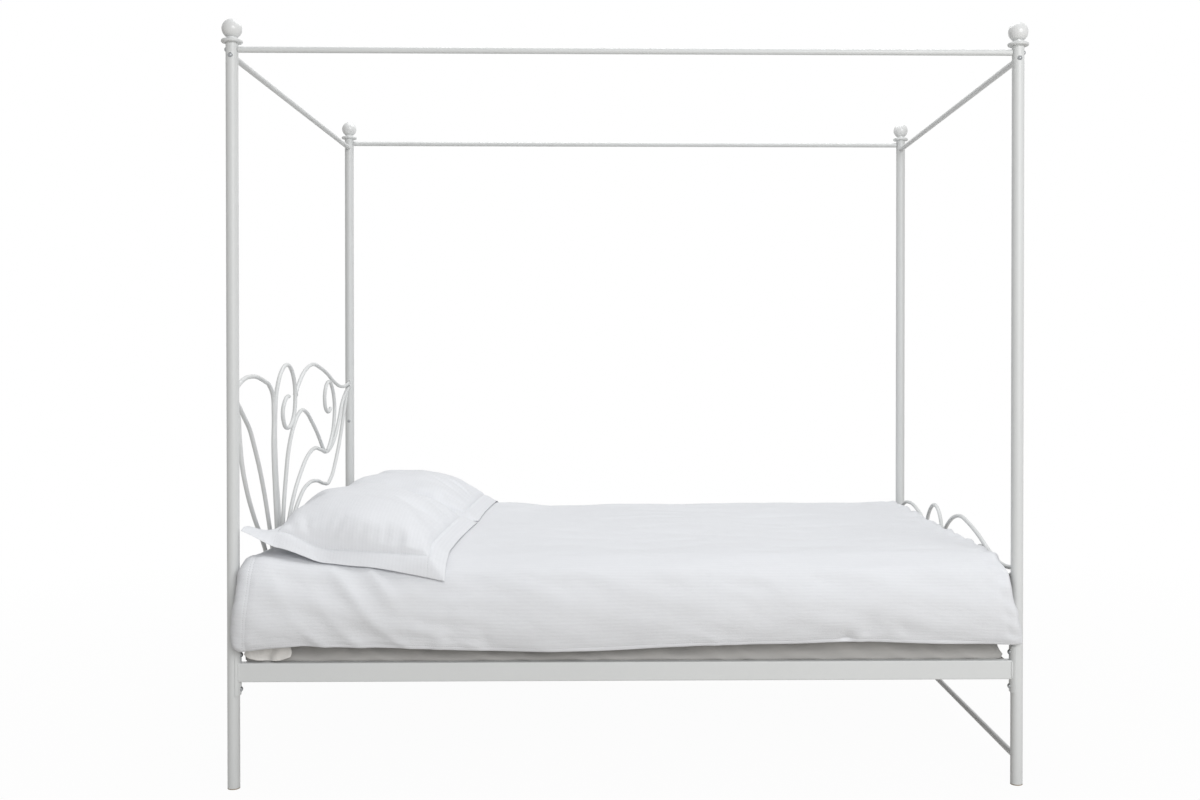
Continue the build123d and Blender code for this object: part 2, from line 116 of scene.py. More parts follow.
MATTRESS_RUCK = (0.0015, 0.25, 1.0)

# Slanting folds below the near pillow, and the fainter ones on the far side
FOLD_PITCH = 0.070
FOLD_MIDDLE_X, FOLD_MIDDLE_Z = -0.72, 0.50
FOLD_REACH, FOLD_SLANT = 0.19, 0.35
FOLD_SIDE_Y, FOLD_SIDE_TURN = 0.69, 0.08
FOLD_WANDER = (0.016, 0.30, 1.0)
FAR_FOLD_DEPTH = 0.005
FAR_FOLD_PITCH = 0.11
FAR_FOLD_WANDER = (0.02, 0.3, 1.0)
FAR_FOLD_X, FAR_FOLD_REACH = 0.35, 0.40

# Dip before the far pillow, and the corner tucked up to the near head post
DIP_DEPTH, DIP_X, DIP_REACH = 0.015, -0.25, 0.40
DIP_FROM_X, DIP_TURN_X = -0.46, 0.2
DIP_FROM_Y, DIP_TURN_Y = 0.10, 0.5
TUCK_HEIGHT, TUCK_X, TUCK_Y = 0.035, -1.0, -0.745
TUCK_REACH_X, TUCK_REACH_Y = 0.15, 0.072

# Weave, stitches and drag folds of the cotton
WEAVE_PITCH = 0.0015
STITCH_WIDTH = 0.0016
STITCH_LENGTH = 0.0055
DRAG_FOLD_PITCH = 0.12

# Mattress: rounding, the share of its creases left at the head, and the lip of its cover on the rails
MATTRESS_CORNER_ROUND = 0.028
MATTRESS_TOP_ROUND = 0.026
MATTRESS_VOXEL = 0.0125
MATTRESS_BULGE = 0.004
MATTRESS_HEAD_SHARE = 0.3
LIP_OUT_SIDE = 0.0155
LIP_OUT_FOOT = 0.0090
LIP_OVER_RAIL = 0.0007
LIP_HEIGHT, LIP_TURN = 0.006, 0.030
LIP_INSET, LIP_INSET_TURN = 0.016, 0.008
LIP_FOLD, LIP_FOLD_TURN = 0.005, 0.003

# Loose corner of the sheet: where it hangs, its width, its hem as shares of the width and heights, and its
# folds as depth, count and slant
CORNER_X, CORNER_Y, CORNER_TOP_Z = -1.002, -0.7215, 0.408
CORNER_WIDTH = 0.122
CORNER_HEM = ((0, 0.10, 0.25, 0.55, 0.8, 1), (0.352, 0.343, 0.337, 0.334, 0.336, 0.345))
CORNER_GRID = (56, 24)
CORNER_CLOTH = 0.0012
CORNER_FOLDS = ((0.0062, 1.5, 0.25), (0.0022, 3.4, -0.7))

# Pillows: half sizes in plan, and the steps from the flange's edge past its seam
PILLOW_HALF_X = 0.265
PILLOW_HALF_Y = 0.355
PILLOW_FLANGE = 0.050
PILLOW_REST_Z = 0.6078
PILLOW_STEPS = np.array([0.0, 0.004, 0.012, 0.022, 0.032, 0.041, 0.0465, 0.050, 0.0535, 0.059, 0.067,
                         0.077])
PILLOW_PITCH = 0.0115
PILLOW_X = -0.735
PILLOW_NEAR_Y, PILLOW_FAR_Y = -0.366, 0.368
PILLOW_SEAM_LEVEL = 0.027
PILLOW_HEAD_LIFT, PILLOW_LIFT_FROM, PILLOW_LIFT_TURN = 0.041, 0.25, 0.75
PILLOW_UNDERSIDE = 0.0015
PILLOW_SEAM_DEPTH, PILLOW_SEAM_WIDTH = 0.0034, 0.0048
PILLOW_DRAW_X, PILLOW_DRAW_Y = 0.034, 0.031
PILLOW_HEAD_TURN = 0.026
PUCKER_DEPTH, PUCKER_REACH = 0.0019, 0.030
PUCKER_PITCH_X, PUCKER_PITCH_Y = 0.037, 0.034
FLANGE_LEVEL = 0.0014
FLANGE_OUTER_RISE, FLANGE_RISE_FROM, FLANGE_RISE_TURN = 0.0042, 0.55, 0.4
FLANGE_HALF_CLOTH = 0.0013
FLANGE_EDGE_ROUND = 0.005
CURL_REACH = PILLOW_FLANGE + 0.010
CURL_FROM, CURL_TURN = 0.70, 0.22
SEAM_HOLD, SEAM_TURN = 0.004, 0.012

# Rod ends on a panel: across the bed and up from the bottom rail, in metres
RAIL_FEET = (-0.396, -0.332, -0.292, -0.262, -0.240, -0.208, -0.165)
POST_ENDS = ((-1, 0.492), (-1, 0.468), (1, 0.507), (1, 0.489))
ROD_ENDS = (((-0.079, 0.475), (0.069, 0.052)), ((0.300, 0.278), (-0.090, 0.064)),
            ((0.345, 0.272), (0.059, 0.032)), ((0.672, 0.478), (-0.051, -0.078)))
ROD_RADIUS = 0.006
BEAD_RADIUS = 0.0022
BEAD_OUT = 0.0004
RUN_RADIUS = 0.0024
RUN_SHORT = 0.005
RUN_OUT = 0.0006

# Studio: where the lamps hang and aim, their widths, and the camera's film
KEY_LAMP_PLACE, KEY_LAMP_WIDTH = (2.3, -6.2, 3.0), 3.5
TOP_LAMP_PLACE, TOP_LAMP_WIDTH = (0.2, 0.9, 4.4), 3.0
LAMP_AIM = (0, 0, 0.6)
FLOOR_WIDTH = 60
FLOOR_PALENESS = 0.97
FLOOR_SHADE_RADIUS, FLOOR_SHADE_SLOPE = 1.2, 0.35
FILM_WIDTH = 36
CAMERA_SHIFT = (-0.037, -0.021)
WHITE = (1, 1, 1, 1)


class BedFinishes(bpy.types.PropertyGroup):
    """Colours and gloss of the frame."""

    paint: bpy.props.FloatVectorProperty(
        name="Paint", description="Colour of the frame's paint", subtype="COLOR", size=3,
        default=(0.72, 0.735, 0.735), min=0, max=1)
    paint_roughness: bpy.props.FloatProperty(
        name="Paint roughness", description="0 is glossy and 1 is matt", subtype="FACTOR", default=0.42,
        min=0, max=1)
    finial: bpy.props.FloatVectorProperty(
        name="Finials", description="Colour of the balls and collars on the posts", subtype="COLOR",
        size=3, default=(0.79, 0.80, 0.80), min=0, max=1)
    finial_roughness: bpy.props.FloatProperty(
        name="Finial roughness", description="0 is glossy and 1 is matt", subtype="FACTOR", default=0.22,
        min=0, max=1)
    zinc: bpy.props.FloatVectorProperty(
        name="Bolts", description="Colour of the plated bolts and nuts", subtype="COLOR", size=3,
        default=(0.34, 0.35, 0.36), min=0, max=1)
    foot_plastic: bpy.props.FloatVectorProperty(
        name="Feet", description="Colour of the plastic caps and plugs", subtype="COLOR", size=3,
        default=(0.36, 0.30, 0.23), min=0, max=1)
    wood: bpy.props.FloatVectorProperty(
        name="Slats", description="Colour of the stained slats", subtype="COLOR", size=3,
        default=(0.080, 0.040, 0.024), min=0, max=1)


class BedLinen(bpy.types.PropertyGroup):
    """Colours of the bedding, and how full and creased it is."""

    cotton: bpy.props.FloatVectorProperty(
        name="Cotton", description="Colour of the duvet cover and pillowcases", subtype="COLOR", size=3,
        default=(0.840, 0.855, 0.885), min=0, max=1)
    sheet: bpy.props.FloatVectorProperty(
        name="Sheet", description="Colour of the sheet's loose corner", subtype="COLOR", size=3,
        default=(0.80, 0.785, 0.76), min=0, max=1)
    # Pale fitted sheet darkened to paint the shade that the duvet's overhang casts on the mattress's sides.
    shaded_sheet: bpy.props.FloatVectorProperty(
        name="Mattress", description="Colour of the mattress's fitted cover", subtype="COLOR", size=3,
        default=(0.465, 0.457, 0.443), min=0, max=1)
    fold_depth: bpy.props.FloatProperty(
        name="Fold depth", description="Depth of the slanting folds below the near pillow",
        subtype="DISTANCE", unit="LENGTH", default=0.0056, min=0, max=0.03)
    near_crown: bpy.props.FloatProperty(
        name="Near pillow", description="Height of the near pillow", subtype="DISTANCE", unit="LENGTH",
        default=0.140, min=0.06, max=0.2)
    far_crown: bpy.props.FloatProperty(
        name="Far pillow", description="Height of the far pillow", subtype="DISTANCE", unit="LENGTH",
        default=0.126, min=0.06, max=0.2)
    stripe: bpy.props.FloatProperty(
        name="Stripe", description="Spacing of the woven stripe", subtype="DISTANCE", unit="LENGTH",
        default=0.0095, min=0.002, max=0.05)


class BedStudio(bpy.types.PropertyGroup):
    """Camera, lamps and floor."""

    camera_place: bpy.props.FloatVectorProperty(
        name="Camera", description="Where the camera stands", subtype="TRANSLATION", size=3,
        default=(-0.010, -4.106, 1.112))
    camera_lens: bpy.props.FloatProperty(
        name="Lens", description="Focal length in millimetres", default=38.68, min=10, max=200)
    camera_dip: bpy.props.FloatProperty(
        name="Dip", description="How far the camera looks down", subtype="ANGLE", unit="ROTATION",
        default=math.radians(0.49))
    camera_turn: bpy.props.FloatProperty(
        name="Turn", description="How far the camera looks towards the foot", subtype="ANGLE",
        unit="ROTATION", default=math.radians(0.94))
    ambient: bpy.props.FloatProperty(
        name="Ambient", description="Strength of the light from all round", default=0.38, min=0, max=2)
    key_power: bpy.props.FloatProperty(
        name="Key lamp", description="Power of the lamp at the front", subtype="POWER", unit="POWER",
        default=226.0, min=0, max=1000)
    top_power: bpy.props.FloatProperty(
        name="Top lamp", description="Power of the lamp overhead", subtype="POWER", unit="POWER",
        default=75.0, min=0, max=1000)
    floor: bpy.props.FloatVectorProperty(
        name="Floor", description="Colour of the floor", subtype="COLOR", size=3,
        default=(0.58, 0.56, 0.53), min=0, max=1)


class Signal:
    """A shader socket that takes part in Python arithmetic."""

    def __init__(self, bench, socket):
        self.bench = bench
        self.socket = socket

    def work(self, operation, *others):
        inputs = dict(enumerate((self, *others)))
        return self.bench.node("ShaderNodeMath", {"operation": operation}, inputs)

    def __add__(self, other):
        return self.work("ADD", other)

    def __sub__(self, other):
        return self.work("SUBTRACT", other)

    def __rsub__(self, other):
        return self.bench.node("ShaderNodeMath", {"operation": "SUBTRACT"}, {0: other, 1: self})

    def __mul__(self, other):
        return self.work("MULTIPLY", other)

    __radd__ = __add__
    __rmul__ = __mul__

    def sine(self):
        return self.work("SINE")

    def at_most(self, limit):
        return self.work("MINIMUM", limit)

    def at_least(self, limit):
        return self.work("MAXIMUM", limit)


class Bench:
    """Adds nodes to one node tree."""

    def __init__(self, tree):
        self.tree = tree
        tree.nodes.clear()

    def node(self, kind, settings=None, inputs=None, output=0):
        made = self.tree.nodes.new(kind)
        for key, value in (settings or {}).items():
            setattr(made, key, value)
        for key, value in (inputs or {}).items():
            if isinstance(value, Signal):
                self.tree.links.new(value.socket, made.inputs[key])
            else:
                made.inputs[key].default_value = value
        return Signal(self, made.outputs[output])

    def noise(self, place, scale, detail=3.0):
        return self.node("ShaderNodeTexNoise", None, {"Vector": place, "Scale": scale, "Detail": detail})

    def stretched(self, place, scale):
        return self.node("ShaderNodeMapping", None, {"Vector": place, "Scale": scale})

    def parts(self, place):
        split = self.node("ShaderNodeSeparateXYZ", None, {0: place})
        return [Signal(self, socket) for socket in split.socket.node.outputs]

    def tint(self, factor, dark, light):
        inputs = {0: factor, 6: (*dark, 1), 7: (*light, 1)}
        return self.node("ShaderNodeMix", {"data_type": "RGBA"}, inputs, 2)

    def bump(self, height, strength, distance):
        return self.node("ShaderNodeBump", None,
                         {"Height": height, "Strength": strength, "Distance": distance})

    def place(self):
        return self.node("ShaderNodeTexCoord", output="Object")

    def surface(self, shader):
        end = self.tree.nodes.new("ShaderNodeOutputMaterial")
        self.tree.links.new(shader.socket, end.inputs["Surface"])

    def coat(self, inputs):
        self.surface(self.node("ShaderNodeBsdfPrincipled", None, inputs))


def shade(colour, share):
    return tuple(share * part for part in colour)


def new_finish(name):
    material = bpy.data.materials.new(name)
    material.use_nodes = True
    return material, Bench(material.node_tree)


def powder_coat(name, colour, roughness):
    """Sprayed and baked paint: a faint orange peel, slight clouding and small dull spots."""
    material, bench = new_finish(name)
    place = bench.place()
    cloud = bench.noise(place, 4.0)
    spots = bench.noise(place, 55.0, 5.0)
    peel = bench.noise(place, 620.0, 2.0)
    mix = (cloud * 0.8 + spots * 0.3 - 0.05).at_least(0.0).at_most(1.0)
    bench.coat({
        "Base Color": bench.tint(mix, shade(colour, 0.955), shade(colour, 1.02)),
        "Roughness": spots * 0.08 + (roughness - 0.04),
        "Normal": bench.bump(peel, 0.05, 0.0002),
        "Specular IOR Level": 0.5,
    })
    return material


def zinc_plate(name, colour):
    """Plated steel with cloudy passivation."""
    material, bench = new_finish(name)
    place = bench.place()
    cloud = bench.noise(place, 180.0, 4.0)
    grain = bench.noise(place, 1500.0, 2.0)
    bench.coat({
        "Base Color": bench.tint(cloud, shade(colour, 0.75), shade(colour, 1.15)),
        "Metallic": 0.9,
        "Roughness": cloud * 0.25 + 0.28,
        "Normal": bench.bump(grain, 0.15, 0.0003),
    })
    return material


def moulded_plastic(name, colour):
    """Matt moulded plastic with scuffs."""
    material, bench = new_finish(name)
    place = bench.place()
    scuffs = bench.noise(place, 130.0, 5.0)
    grain = bench.noise(place, 1100.0, 2.0)
    bench.coat({
        "Base Color": bench.tint(scuffs, shade(colour, 0.8), shade(colour, 1.2)),
        "Roughness": scuffs * 0.2 + 0.5,
        "Normal": bench.bump(grain, 0.2, 0.0004),
    })
    return material


def stained_wood(name, colour):
    """Dark stained softwood with its grain along the slats, across the bed."""
    material, bench = new_finish(name)
    place = bench.place()
    figure = bench.noise(bench.stretched(place, (24.0, 1.3, 24.0)), 1.0, 4.0)
    rings = (figure * 46.0).sine() * 0.5 + 0.5
    pores = bench.noise(bench.stretched(place, (900.0, 18.0, 900.0)), 1.0, 3.0)
    mix = (rings * 0.55 + pores * 0.6 - 0.1).at_least(0.0).at_most(1.0)
    bench.coat({
        "Base Color": bench.tint(mix, shade(colour, 0.55), shade(colour, 1.6)),
        "Roughness": pores * 0.25 + 0.45,
        "Normal": bench.bump(pores, 0.25, 0.0006),
    })
    return material


def cotton(name, colour, stripe, stripe_axis, stitch_lines):
    """Plain weave with a woven stripe. A stitch line is (axis of the flat map, place)."""
    material, bench = new_finish(name)
    place = bench.node("ShaderNodeUVMap", {"uv_map": FLAT_MAP})
    along, across, _ = bench.parts(place)
    bands = ((across if stripe_axis else along) * (FULL_TURN / stripe)).sine() * 0.5 + 0.5
    weave = (along * (FULL_TURN / WEAVE_PITCH)).sine() * (across * (FULL_TURN / WEAVE_PITCH)).sine()
    crinkle = bench.noise(bench.stretched(place, (34.0, 75.0, 1.0)), 1.0, 5.0)
    slub = bench.noise(bench.stretched(place, (60.0, 900.0, 1.0)), 1.0, 2.0)
    height = weave * 0.10 + bands * 0.12 + crinkle * 1.5 + slub * 0.12
    for axis, line in stitch_lines:
        run, off = (along, across) if axis else (across, along)
        from_line = (off - line) * (1 / STITCH_WIDTH)
        thread = (1.0 - from_line * from_line).at_least(0.0)
        stitch = ((run * (FULL_TURN / STITCH_LENGTH)).sine() + 0.6).at_least(0.0).at_most(1.0)
        height = height - thread * (0.9 - stitch * 0.7)
    mix = (bands * 0.35 + crinkle * 0.5 + slub * 0.2).at_most(1.0)
    bench.coat({
        "Base Color": bench.tint(mix, shade(colour, 0.955), colour),
        "Roughness": 0.92 - bands * 0.12,
        "Normal": bench.bump(height, 0.55, 0.0016),
        "Sheen Weight": 0.12,
        "Specular IOR Level": 0.25,
    })
    return material


def sheet_cotton(name, colour):
    """Plain jersey of the fitted sheet, with slanting drag folds in its bump and their shade painted into
    its colour.
    """
    material, bench = new_finish(name)
    place = bench.place()
    crinkle = bench.noise(bench.stretched(place, (26.0, 26.0, 60.0)), 1.0, 5.0)
    knit = bench.noise(place, 700.0, 2.0)
    along, across, up = bench.parts(place)
    drift = bench.noise(place, 5.0, 2.0)
    slant = (along + across + up * 1.5) * (FULL_TURN / DRAG_FOLD_PITCH)
    folds_and_painted_shade = (slant + drift * 14.0).sine() * 0.5 + 0.5
    bench.coat({
        # Base colour darker along the hollows of the drag folds: painted shade of the folds, added to the
        # random crinkle tone.
        "Base Color": bench.tint(crinkle * 0.6 + folds_and_painted_shade * 0.4, shade(colour, 0.91), shade(colour, 1.05)),
        "Roughness": knit * 0.1 + 0.82,
        "Normal": bench.bump(crinkle * 1.4 + knit * 0.25 + folds_and_painted_shade * 3.2, 0.6, 0.0018),
        "Sheen Weight": 0.1,
        "Specular IOR Level": 0.25,
    })
    return material


def ease(amount):
    """0 to 1 with soft ends."""
    amount = np.clip(amount, 0.0, 1.0)
    return amount * amount * (3 - 2 * amount)


def round_off(distance, radius):
    """Height of a quarter round at a distance from its edge, from 0 to 1."""
    return np.sqrt(1 - (1 - np.clip(distance / radius, 0.0, 1.0)) ** 2)


def waves(x, y, length, seed, stretch=1.0, count=10):
    """Smooth seeded unevenness, mostly between -1 and 1, with features about as long as length."""
    draw = np.random.default_rng(seed)
    total = np.zeros_like(x)
    for _ in range(count):
        turn = draw.uniform(0, FULL_TURN)
        pitch = length * draw.uniform(0.7, 1.5)
        start = draw.uniform(0, FULL_TURN)
        way = x * math.cos(turn) / stretch + y * math.sin(turn)
        total += np.sin(FULL_TURN * way / pitch + start)
    return total / math.sqrt(count)


def uneven(kind, x, y, seed):
    """Waves of one kind of unevenness, in metres."""
    height, length, stretch = kind
    return height * waves(x, y, length, seed, stretch)


def bell(distance, reach):
    """1 at no distance, falling off softly to both sides."""
    return np.exp(-(distance / reach) ** 2)


def smooth_line(points, rounding, samples=4000):
    """A line through the points' straight runs with its corners rounded."""
    corners = np.array(points)
    run = np.concatenate([[0], np.cumsum(np.linalg.norm(np.diff(corners, axis=0), axis=1))])
    fine = np.linspace(0, run[-1], samples + 1)
    line = np.stack([np.interp(fine, run, corners[:, axis]) for axis in (0, 1)], 1)
    half = int(rounding / run[-1] * samples / 2)
    before = 2 * line[:1] - line[half:0:-1]
    after = 2 * line[-1:] - line[-2:-half - 2:-1]
    padded = np.concatenate([before, line, after])
    kernel = np.hanning(2 * half + 1)
    kernel /= kernel.sum()
    return np.stack([np.convolve(padded[:, axis], kernel, "valid") for axis in (0, 1)], 1)


def mirrored(points):
    return points + [(-across, up) for across, up in reversed(points[:-1])]


def line_length(line):
    return np.concatenate([[0], np.cumsum(np.linalg.norm(np.diff(line, axis=0), axis=1))])


def along_line(line, shares):
    run = line_length(line)
    return np.stack([np.interp(shares * run[-1], run, line[:, axis]) for axis in (0, 1)], 1)


def border_steps(total, rim, fine_to=0.046, fine=0.0045):
    """Places from 0 to total, close together at both borders."""
    start = np.concatenate([rim * (1 - np.cos(np.linspace(0, math.pi / 2, 7))),
                            np.arange(rim + fine, max(fine_to, rim + 3 * fine), fine)])
    middle_count = int((total - 2 * start[-1]) / DUVET_PITCH)
    middle = np.linspace(start[-1], total - start[-1], middle_count + 1)[1:-1]
    return np.concatenate([start, middle, total - start[::-1]])


def only(piece):
    bpy.ops.object.select_all(action="DESELECT")
    piece.select_set(True)
    bpy.context.view_layer.objects.active = piece


def corners_of(piece):
    found = np.zeros(len(piece.data.vertices) * 3)
    piece.data.vertices.foreach_get("co", found)
    return found.reshape(-1, 3)


def move_corners(piece, places):
    piece.data.vertices.foreach_set("co", places.ravel())
    piece.data.update()


def apply_modifier(piece, kind, **settings):
    only(piece)
    modifier = piece.modifiers.new(kind.title(), kind)
    for key, value in settings.items():
        setattr(modifier, key, value)
    bpy.ops.object.modifier_apply(modifier=modifier.name)


def dress(piece, finish, body):
    piece.data.materials.clear()
    piece.data.materials.append(finish)
    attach(piece, body)


def shell_piece(name, outer, inner, flat, held=None):
    """A closed soft shell of two grids that meet at their borders. Held marks the points that stay put."""
    rows, columns = outer.shape[:2]
    count = rows * columns
    index = np.arange(count).reshape(rows, columns)
    top = np.stack([index[:-1, :-1], index[1:, :-1], index[1:, 1:], index[:-1, 1:]], -1).reshape(-1, 4)
    faces = np.concatenate([top, top[:, ::-1] + count])
    points = np.concatenate([outer.reshape(-1, 3), inner.reshape(-1, 3)])
    mesh = bpy.data.meshes.new(name)
    mesh.from_pydata(points.tolist(), [], faces.tolist())
    flat_twice = np.concatenate([flat.reshape(-1, 2)] * 2)
    layer = mesh.uv_layers.new(name=FLAT_MAP)
    layer.data.foreach_set("uv", flat_twice[faces.ravel()].ravel())
    if held is not None:
        mesh.attributes.new("held", "FLOAT", "POINT").data.foreach_set("value", held.ravel())
    piece = bpy.data.objects.new(name, mesh)
    bpy.context.scene.collection.objects.link(piece)
    only(piece)
    bpy.ops.object.mode_set(mode="EDIT")
    bpy.ops.mesh.select_all(action="SELECT")
    bpy.ops.mesh.remove_doubles(threshold=0.00002)
    bpy.ops.object.mode_set(mode="OBJECT")
    bpy.ops.object.shade_smooth()
    return piece


def swell(piece, slack, pressure, bending, frames, cap):
    """Lets loose cloth swell and crease where it isn't held, by cloth simulation."""
    scene = bpy.context.scene
    before = corners_of(piece)
    weights = np.zeros(len(before))
    piece.data.attributes["held"].data.foreach_get("value", weights)
    group = piece.vertex_groups.new(name="held")
    group.add(np.nonzero(weights > 0.5)[0].tolist(), 1.0, "REPLACE")
    only(piece)
    cloth = piece.modifiers.new("Cloth", "CLOTH")
    fabric = cloth.settings
    fabric.quality = 6
    fabric.mass = 0.2
    fabric.tension_stiffness = 12
    fabric.compression_stiffness = 12
    fabric.shear_stiffness = 4
    fabric.bending_stiffness = bending
    fabric.shrink_min = -slack
    fabric.use_pressure = True
    fabric.uniform_pressure_force = pressure
    fabric.vertex_group_mass = "held"
    fabric.effector_weights.gravity = 0
    cloth.collision_settings.use_collision = False
    cloth.point_cache.frame_start = 1
    cloth.point_cache.frame_end = frames
    for step in range(1, frames + 1):
        scene.frame_set(step)
    bpy.ops.object.modifier_apply(modifier=cloth.name)
    scene.frame_set(1)
    move = corners_of(piece) - before
    reach = np.linalg.norm(move, axis=1, keepdims=True)
    move_corners(piece, before + move * cap / np.maximum(reach, cap))
    piece.vertex_groups.clear()


def duvet_profile():
    outer = smooth_line(mirrored(DUVET_OUTER), DUVET_ROUNDING)
    inner = smooth_line(mirrored(DUVET_INNER), DUVET_INNER_ROUNDING)
    return outer, inner


def on_duvet(x, across, level):
    """Points at a height over the duvet, at a distance across the bed measured along its outer face."""
    outer, _ = duvet_profile()
    half = outer[len(outer) // 2:]
    run = line_length(half)
    way = np.gradient(half, run, axis=0)
    distance = np.abs(across)
    y, z, way_y, way_z = (np.interp(distance, run, part) for part in (*half.T, *way.T))
    lift = PILLOW_REST_Z - half[0, 1]
    out_y = y - way_z * (level + lift)
    return np.stack([x, np.sign(across) * out_y, z + way_y * (level + lift)], -1)


def duvet_grids(linen):
    """Outer and inner faces of the duvet, its flat map and its flat width."""
    outer_line, inner_line = duvet_profile()
    width = line_length(outer_line)[-1]
    length = DUVET_FOOT_X - DUVET_HEAD_X
    along = border_steps(length, DUVET_END_ROUND)
    across = border_steps(width, DUVET_HEM_ROUND)
    hem_x, hem_z = np.array(DUVET_HEM).T
    x = DUVET_HEAD_X + along[:, None] + 0 * across[None, :]
    slips = np.linspace(-HEM_BLUR, HEM_BLUR, 7)
    hem = np.mean([np.interp(x + slip, hem_x, hem_z) for slip in slips], axis=0)
    fall = (DUVET_BEND_Z - hem) / (DUVET_BEND_Z - DUVET_DRAWN_HEM)
    faces = []
    for line in (outer_line, inner_line):
        spots = along_line(line, across / width)
        y = spots[None, :, 0] + 0 * x
        z = spots[None, :, 1] + 0 * x
        z = np.where(z < DUVET_BEND_Z, DUVET_BEND_Z - (DUVET_BEND_Z - z) * fall, z)
        hang = ease((DUVET_BEND_Z - z) / (DUVET_BEND_Z - hem))
        from_head = x - DUVET_HEAD_X
        from_foot = DUVET_FOOT_X - x
        lean = FOOT_LEAN * np.clip(1 - from_foot / FOOT_LEAN_REACH, 0, 1)
        lean -= HEAD_LEAN * np.clip(1 - from_head / HEAD_LEAN_REACH, 0, 1)
        swing = HEM_SWING * (1 - np.cos(FULL_TURN * HEM_SWING_COUNT * from_head / length)) * hang
        faces.append(np.stack([x + lean * hang, y + np.sign(y) * swing, z], -1))
    outer, inner = faces
    end_gap = np.minimum(along, length - along)[:, None]
    hem_gap = np.minimum(across, width - across)[None, :]
    edge = round_off(end_gap, DUVET_END_ROUND) * round_off(hem_gap, DUVET_HEM_ROUND)
    middle = (outer + inner) / 2
    outer = middle + (outer - middle) * edge[..., None]
    inner = middle + (inner - middle) * edge[..., None]
    raised = duvet_relief(outer, hem_gap, end_gap, along, across, linen)
    normal = np.cross(np.gradient(outer, axis=0), np.gradient(outer, axis=1))
    normal /= np.maximum(np.linalg.norm(normal, axis=-1, keepdims=True), 1e-12)
    outer = outer + normal * (raised * edge)[..., None]
    flat = np.stack([along[:, None] + 0 * x, across[None, :] + 0 * x], -1)
    return outer, inner, flat, width


def duvet_relief(outer, hem_gap, end_gap, along, across, linen):
    """Puffs, folds, creases and seams of the duvet's outer face."""
    x, y, z = np.moveaxis(outer, -1, 0)
    run = along[:, None] + 0 * x
    over = across[None, :] + 0 * x
    near = ease((-DUVET_SIDE_Y - y) / DUVET_SIDE_TURN)
    far = ease((y - DUVET_SIDE_Y) / DUVET_SIDE_TURN)
    open_top = ease((x - DUVET_OPEN_X) / DUVET_OPEN_TURN) * (1 - near - far)
    raised = open_top * uneven(TOP_PUFF, x, y, LINEN_SEED)
    raised += open_top * uneven(TOP_WRINKLE, x, y, LINEN_SEED + 1)
    raised += open_top * uneven(TOP_CRINKLE, run, over, LINEN_SEED + 2)
    dip = DIP_DEPTH * ease((y - DIP_FROM_Y) / DIP_TURN_Y) * ease((x - DIP_FROM_X) / DIP_TURN_X)
    raised -= dip * bell(x - DIP_X, DIP_REACH)
    raised += TUCK_HEIGHT * bell(x - TUCK_X, TUCK_REACH_X) * bell(y - TUCK_Y, TUCK_REACH_Y)
    raised += near_folds(x, y, z, linen.fold_depth)
    raised += far * far_folds(x, z)
    depth, length, stretch = SIDE_CREASE
    for side, seed in ((near, LINEN_SEED + 6), (far, LINEN_SEED + 9)):
        patch = np.clip(0.35 + 0.65 * waves(run, over, 0.35, seed + 2), 0, 1.3)
        creases = 0.6 - np.abs(waves(run + 0.5 * over, over, length, seed + 20, stretch))
        drawn = np.exp(-hem_gap / HEM_PUCKER_REACH) * uneven(HEM_PUCKER, run, over * 0.4, seed + 3)
        raised += side * uneven(SIDE_PUFF, run, over, seed)
        raised += side * uneven(SIDE_WRINKLE, run, over, seed + 1)
        raised += side * depth * np.clip(patch, 0.3, 1) * creases
        raised += side * patch * drawn
    raised -= HEM_SEAM_DEPTH * bell(hem_gap - HEM_SEAM, HEM_SEAM_WIDTH)
    raised -= HEAD_BAND_DEPTH * bell(run - HEAD_BAND, HEAD_BAND_WIDTH)
    raised += bell(run, HEAD_PUCKER_REACH) * uneven(HEAD_BAND_PUCKER, run, over, LINEN_SEED + 14)
    foot = bell(end_gap, FOOT_PUCKER_REACH) * (run > 1)
    raised += foot * uneven(FOOT_END_PUCKER, run, over, LINEN_SEED + 15)
    return raised


def near_folds(x, y, z, depth):
    """Folds that run down and back from below the near pillow, sharp in their hollows."""
    slant = (x + z) / math.sqrt(2) + uneven(FOLD_WANDER, x, z, LINEN_SEED + 3)
    folds_and_painted_shade = 1.1 - 2 * np.abs(np.sin(math.pi * slant / FOLD_PITCH)) ** 0.8
    strength = 0.75 + 0.35 * waves(x, z, 0.22, LINEN_SEED + 4)
    middle = FOLD_MIDDLE_X + FOLD_SLANT * (FOLD_MIDDLE_Z - z)
    hanging = ease((-FOLD_SIDE_Y - y) / FOLD_SIDE_TURN)
    return hanging * depth * bell(x - middle, FOLD_REACH) * folds_and_painted_shade * strength


def far_folds(x, z):
    slant = (x - z) / math.sqrt(2) + uneven(FAR_FOLD_WANDER, x, z, LINEN_SEED + 5)
    return FAR_FOLD_DEPTH * bell(x - FAR_FOLD_X, FAR_FOLD_REACH) * np.sin(FULL_TURN * slant / FAR_FOLD_PITCH)


def pillow_lines(half):
    rim = half - PILLOW_STEPS
    count = int(2 * rim[-1] / PILLOW_PITCH) + 1
    return np.concatenate([-rim, np.linspace(-rim[-1], rim[-1], count)[1:-1], rim[::-1]])


def pillow_fullness(s, t, lean):
    """0 at the seam to 1 at the crown, which leans to the head. S and t are -1 and 1 at the seams."""
    shifted = s + lean * (1 - s * s)
    rise_x = np.clip(1 - np.abs(shifted) ** 2.3, 0, 1) ** 0.60
    rise_y = np.clip(1 - np.abs(t) ** 2.6, 0, 1) ** 0.50
    return rise_x * rise_y


